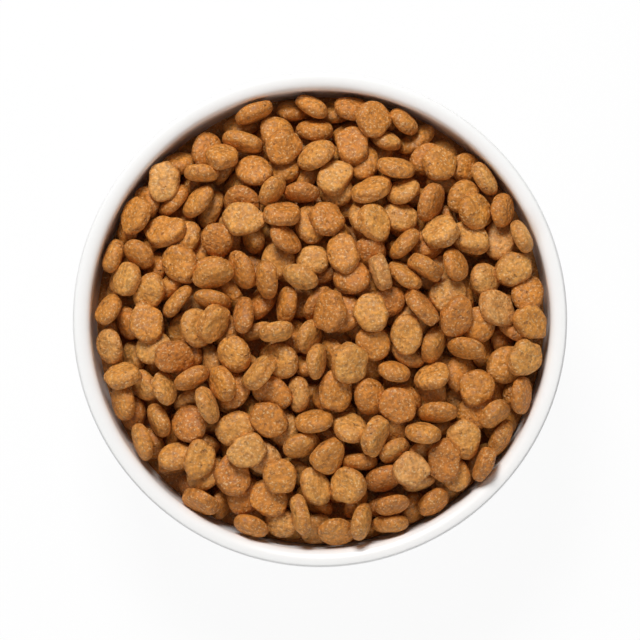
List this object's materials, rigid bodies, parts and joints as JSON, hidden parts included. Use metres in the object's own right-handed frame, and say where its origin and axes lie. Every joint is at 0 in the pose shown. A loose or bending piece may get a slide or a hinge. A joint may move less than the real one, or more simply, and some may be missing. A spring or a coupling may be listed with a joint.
{
  "type": "bowl of dry pet food",
  "caption": "Round white glazed bowl on a foot ring, heaped with loose brown dry pet food in rounded, flattened pieces.",
  "frame": {"origin": "centre of the foot ring, on the surface that the bowl stands on", "axes": "+Z up along the bowl's axis; +Y is up in the picture, +X is right in the picture"},
  "size_m": [0.15, 0.15, 0.0657],
  "materials": {
    "glaze": "gloss",
    "kibble": "matte"
  },
  "bodies": {
    "root": {"bowl": "glaze", "kibble_bed": "kibble", "kibble_01": "kibble", "kibble_02": "kibble", "kibble_03": "kibble", "kibble_04": "kibble", "kibble_05": "kibble", "kibble_06": "kibble", "kibble_07": "kibble", "kibble_08": "kibble", "kibble_09": "kibble", "kibble_10": "kibble", "kibble_11": "kibble", "kibble_12": "kibble", "kibble_13": "kibble", "kibble_14": "kibble", "kibble_15": "kibble", "kibble_16": "kibble", "kibble_17": "kibble", "kibble_18": "kibble", "kibble_19": "kibble", "kibble_20": "kibble", "kibble_21": "kibble", "kibble_22": "kibble", "kibble_23": "kibble", "kibble_24": "kibble", "kibble_25": "kibble", "kibble_26": "kibble", "kibble_27": "kibble", "kibble_28": "kibble", "kibble_29": "kibble", "kibble_30": "kibble", "kibble_31": "kibble", "kibble_32": "kibble", "kibble_33": "kibble", "kibble_34": "kibble", "kibble_35": "kibble", "kibble_36": "kibble", "kibble_37": "kibble", "kibble_38": "kibble", "kibble_39": "kibble", "kibble_40": "kibble", "kibble_41": "kibble", "kibble_42": "kibble", "kibble_43": "kibble", "kibble_44": "kibble", "kibble_45": "kibble", "kibble_46": "kibble", "kibble_47": "kibble", "kibble_48": "kibble", "kibble_49": "kibble", "kibble_50": "kibble", "kibble_51": "kibble", "kibble_52": "kibble", "kibble_53": "kibble", "kibble_54": "kibble", "kibble_55": "kibble", "kibble_56": "kibble", "kibble_57": "kibble", "kibble_58": "kibble"}
  },
  "joints": []
}
